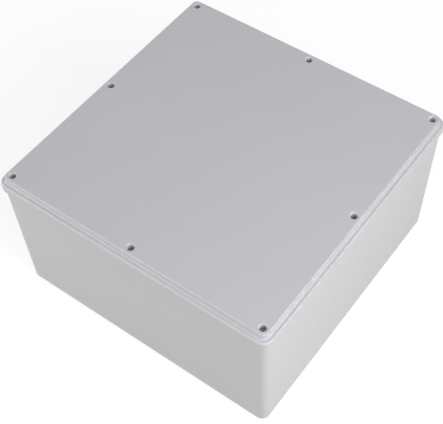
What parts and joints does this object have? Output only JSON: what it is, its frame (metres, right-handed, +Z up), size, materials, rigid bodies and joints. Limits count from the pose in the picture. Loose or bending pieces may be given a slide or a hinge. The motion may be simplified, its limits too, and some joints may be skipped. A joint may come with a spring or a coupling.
{
  "type": "plastic project box",
  "caption": "Square moulded plastic enclosure: drafted tub with a rim, flat screw-down lid with recessed screws, threaded inserts and mounting posts inside.",
  "frame": {"origin": "centre of the underside, on the plane the box stands on", "axes": "+Z up through the lid, -Y towards the front wall, +X towards the right wall"},
  "size_m": [0.3, 0.3, 0.156],
  "materials": {
    "base_plastic": "light grey moulded plastic, fine even mould texture, satin",
    "lid_plastic": "light grey moulded plastic, fine even mould texture, satin",
    "screw_steel": "dark zinc-plated steel, turned",
    "insert_brass": "machined brass"
  },
  "bodies": {
    "tub": {"base": "base_plastic", "insert_front_left": "insert_brass", "insert_front": "insert_brass", "insert_front_right": "insert_brass", "insert_right": "insert_brass", "insert_back_right": "insert_brass", "insert_back": "insert_brass", "insert_back_left": "insert_brass", "insert_left": "insert_brass"},
    "lid": {"lid": "lid_plastic"},
    "screw_front_left": {"lid_screw_front_left": "screw_steel"},
    "screw_front": {"lid_screw_front": "screw_steel"},
    "screw_front_right": {"lid_screw_front_right": "screw_steel"},
    "screw_right": {"lid_screw_right": "screw_steel"},
    "screw_back_right": {"lid_screw_back_right": "screw_steel"},
    "screw_back": {"lid_screw_back": "screw_steel"},
    "screw_back_left": {"lid_screw_back_left": "screw_steel"},
    "screw_left": {"lid_screw_left": "screw_steel"}
  },
  "joints": [
    {"name": "lid_lift", "type": "slide", "parent": "tub", "child": "lid", "axis": [0, 0, 1], "range_m": [0, 0.18]},
    {"name": "withdraw_front_left", "type": "slide", "parent": "lid", "child": "screw_front_left", "axis": [0, 0, 1], "range_m": [0, 0.025]},
    {"name": "withdraw_front", "type": "slide", "parent": "lid", "child": "screw_front", "axis": [0, 0, 1], "range_m": [0, 0.025]},
    {"name": "withdraw_front_right", "type": "slide", "parent": "lid", "child": "screw_front_right", "axis": [0, 0, 1], "range_m": [0, 0.025]},
    {"name": "withdraw_right", "type": "slide", "parent": "lid", "child": "screw_right", "axis": [0, 0, 1], "range_m": [0, 0.025]},
    {"name": "withdraw_back_right", "type": "slide", "parent": "lid", "child": "screw_back_right", "axis": [0, 0, 1], "range_m": [0, 0.025]},
    {"name": "withdraw_back", "type": "slide", "parent": "lid", "child": "screw_back", "axis": [0, 0, 1], "range_m": [0, 0.025]},
    {"name": "withdraw_back_left", "type": "slide", "parent": "lid", "child": "screw_back_left", "axis": [0, 0, 1], "range_m": [0, 0.025]},
    {"name": "withdraw_left", "type": "slide", "parent": "lid", "child": "screw_left", "axis": [0, 0, 1], "range_m": [0, 0.025]}
  ]
}
